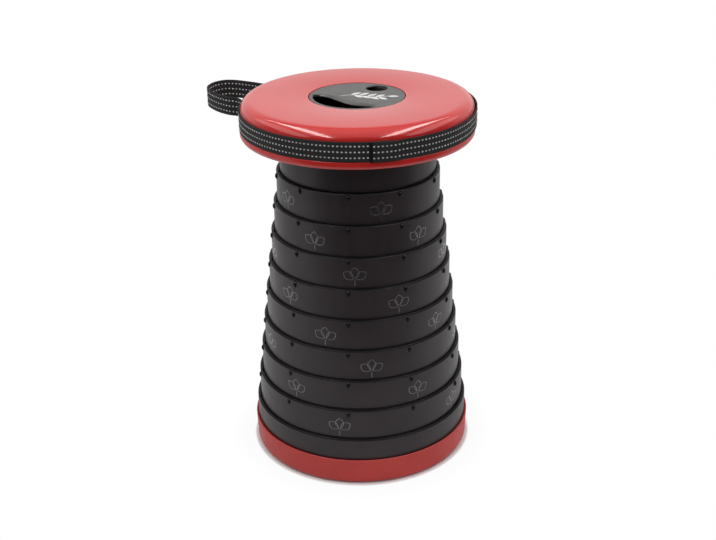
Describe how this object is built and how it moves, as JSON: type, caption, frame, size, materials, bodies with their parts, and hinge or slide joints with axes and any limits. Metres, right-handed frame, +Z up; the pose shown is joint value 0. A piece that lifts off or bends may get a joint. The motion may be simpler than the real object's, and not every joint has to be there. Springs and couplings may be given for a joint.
{
  "type": "collapsible telescopic stool",
  "caption": "Round stool whose nested plastic rings pull up into a tapering column and slide flat into the base, with a webbing strap round the seat that doubles as a carrying loop.",
  "frame": {"origin": "centre of the underside, on the floor, on the stool's axis", "axes": "+Z up along the axis that the rings slide on; -Y towards the viewer of the picture, +X to the viewer's right"},
  "size_m": [0.3281, 0.279, 0.45],
  "materials": {
    "red_gloss": "polished moulded plastic",
    "red_satin": "satin moulded plastic",
    "black_plastic": "satin moulded plastic",
    "grey_panel": "fine grained satin",
    "webbing": "woven webbing with three rows of light stitches",
    "rubber": "matte",
    "steel": "zinc plated"
  },
  "bodies": {
    "base": {"base_cover": "red_satin", "base_ring": "black_plastic", "foot_pad_centre": "rubber", "foot_pad_1": "rubber", "foot_pad_2": "rubber", "foot_pad_3": "rubber", "foot_pad_4": "rubber", "foot_pad_5": "rubber", "foot_pad_6": "rubber", "base_screw_1": "steel", "base_screw_2": "steel", "base_screw_3": "steel", "base_screw_4": "steel", "base_screw_5": "steel", "base_screw_6": "steel"},
    "section_9": {"ring_9": "black_plastic"},
    "section_8": {"ring_8": "black_plastic"},
    "section_7": {"ring_7": "black_plastic"},
    "section_6": {"ring_6": "black_plastic"},
    "section_5": {"ring_5": "black_plastic"},
    "section_4": {"ring_4": "black_plastic"},
    "section_3": {"ring_3": "black_plastic"},
    "section_2": {"ring_2": "black_plastic"},
    "section_1": {"ring_1": "black_plastic"},
    "seat": {"top_ring": "black_plastic", "seat_frame": "black_plastic", "seat_cover": "red_gloss", "centre_panel": "grey_panel", "strap": "webbing", "ring_screw_1": "steel", "ring_screw_2": "steel", "ring_screw_3": "steel", "ring_screw_4": "steel", "ring_screw_5": "steel", "seat_screw_1": "steel", "seat_screw_2": "steel", "seat_screw_3": "steel", "seat_screw_4": "steel", "seat_screw_5": "steel"}
  },
  "joints": [
    {"name": "ring_9_slide", "type": "slide", "parent": "base", "child": "section_9", "axis": [0, 0, -1], "range_m": [0, 0.03785]},
    {"name": "ring_8_slide", "type": "slide", "parent": "section_9", "child": "section_8", "axis": [0, 0, -1], "range_m": [0, 0.03785]},
    {"name": "ring_7_slide", "type": "slide", "parent": "section_8", "child": "section_7", "axis": [0, 0, -1], "range_m": [0, 0.03785]},
    {"name": "ring_6_slide", "type": "slide", "parent": "section_7", "child": "section_6", "axis": [0, 0, -1], "range_m": [0, 0.03785]},
    {"name": "ring_5_slide", "type": "slide", "parent": "section_6", "child": "section_5", "axis": [0, 0, -1], "range_m": [0, 0.03785]},
    {"name": "ring_4_slide", "type": "slide", "parent": "section_5", "child": "section_4", "axis": [0, 0, -1], "range_m": [0, 0.03785]},
    {"name": "ring_3_slide", "type": "slide", "parent": "section_4", "child": "section_3", "axis": [0, 0, -1], "range_m": [0, 0.03785]},
    {"name": "ring_2_slide", "type": "slide", "parent": "section_3", "child": "section_2", "axis": [0, 0, -1], "range_m": [0, 0.03785]},
    {"name": "ring_1_slide", "type": "slide", "parent": "section_2", "child": "section_1", "axis": [0, 0, -1], "range_m": [0, 0.03785]},
    {"name": "seat_slide", "type": "slide", "parent": "section_1", "child": "seat", "axis": [0, 0, -1], "range_m": [0, 0.02795]}
  ]
}
